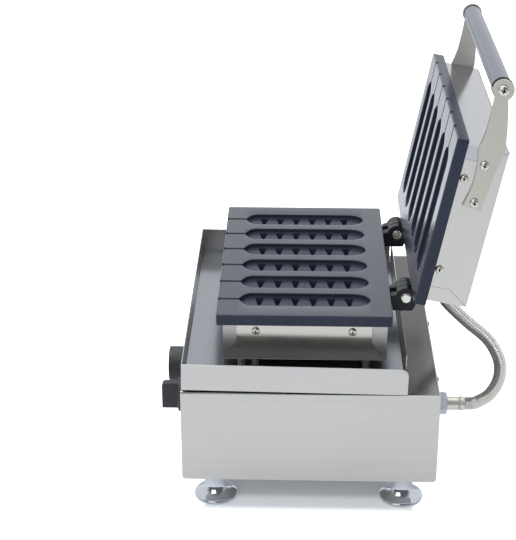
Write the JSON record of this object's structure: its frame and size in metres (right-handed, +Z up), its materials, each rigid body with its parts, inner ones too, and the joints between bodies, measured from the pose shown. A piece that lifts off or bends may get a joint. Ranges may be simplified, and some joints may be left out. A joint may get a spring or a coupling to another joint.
{
  "type": "waffle stick maker",
  "caption": "Countertop waffle stick maker: two hinged plates with long cavities over a drip tray on a steel box base with knobs, feet and a braided hose.",
  "frame": {"origin": "centre of the bounding box's bottom face, on the surface the feet stand on, lid open", "axes": "+Z up; -Y is the front with the knobs; +Y is the rear with the hinges; +X is the machine's right side"},
  "size_m": [0.3704, 0.3939, 0.4887],
  "materials": {
    "stainless": "brushed stainless sheet",
    "nonstick": "cast, with a dark grey non-stick coat",
    "hinge_black": "satin black coat on castings",
    "aluminium": "satin, drawn tube",
    "chrome": "polished",
    "zinc": "bright zinc plate, slightly blue",
    "black_plastic": "fine moulded grain",
    "screw_steel": "plain bright screws",
    "element": "dark oxidised sheath",
    "braid": "woven stainless wire",
    "ceramic": "unglazed, off-white",
    "green_lens": "clear moulded lens",
    "amber_lens": "clear moulded lens"
  },
  "bodies": {
    "base": {"lower_casing": "stainless", "lower_front_cap": "stainless", "lower_rear_cap": "stainless", "base_cover": "stainless", "base_chassis": "stainless", "drip_tray": "stainless", "casing_post_front_right": "stainless", "casing_post_front_left": "stainless", "casing_post_rear_right": "stainless", "casing_post_rear_left": "stainless", "wiring_conduit": "stainless", "lower_clamp_plate": "stainless", "hose_ferrule_base": "stainless", "lower_plate": "nonstick", "hinge_block_lower_right": "hinge_black", "hinge_block_lower_left": "hinge_black", "timer_dial": "aluminium", "foot_front_right": "chrome", "foot_front_left": "chrome", "foot_rear_right": "chrome", "foot_rear_left": "chrome", "temperature_probe": "chrome", "hose_adapter": "zinc", "hose_union_nut": "zinc", "timer": "black_plastic", "mains_gland": "black_plastic", "hinge_bolt_right": "screw_steel", "hinge_bolt_left": "screw_steel", "hinge_nut_right": "screw_steel", "hinge_nut_left": "screw_steel", "lower_element": "element", "braided_hose": "braid", "thermostat": "ceramic", "terminal_block": "ceramic", "power_lamp": "green_lens", "heating_lamp": "amber_lens"},
    "lid": {"upper_plate": "nonstick", "lid_casing": "stainless", "lid_front_cap": "stainless", "lid_rear_cap": "stainless", "upper_element": "element", "upper_clamp_plate": "stainless", "handle_arm_right": "stainless", "handle_arm_left": "stainless", "handle_end_ring_right": "black_plastic", "handle_end_ring_left": "black_plastic", "handle_tube": "aluminium", "handle_screw_right": "screw_steel", "handle_screw_left": "screw_steel", "arm_screw_front_right": "screw_steel", "arm_screw_front_left": "screw_steel", "arm_screw_rear_right": "screw_steel", "arm_screw_rear_left": "screw_steel", "hinge_block_upper_right": "hinge_black", "hinge_block_upper_left": "hinge_black", "hose_ferrule_lid": "stainless"},
    "temperature_control": {"temperature_knob": "black_plastic", "temperature_shaft": "screw_steel"},
    "timer_control": {"timer_knob": "black_plastic", "timer_shaft": "screw_steel"}
  },
  "joints": [
    {"name": "lid_hinge", "type": "hinge", "parent": "base", "child": "lid", "pos_m": [0, 0.07625, 0.2248], "axis": [1, 0, 0], "range_deg": [0, 101], "deforming": ["braided_hose"]},
    {"name": "temperature_turn", "type": "hinge", "parent": "base", "child": "temperature_control", "pos_m": [0.017, -0.16825, 0.0927], "axis": [0, 1, 0], "range_deg": [0, 280]},
    {"name": "timer_turn", "type": "hinge", "parent": "base", "child": "timer_control", "pos_m": [0.091, -0.16825, 0.0927], "axis": [0, 1, 0], "range_deg": [0, 300]}
  ]
}
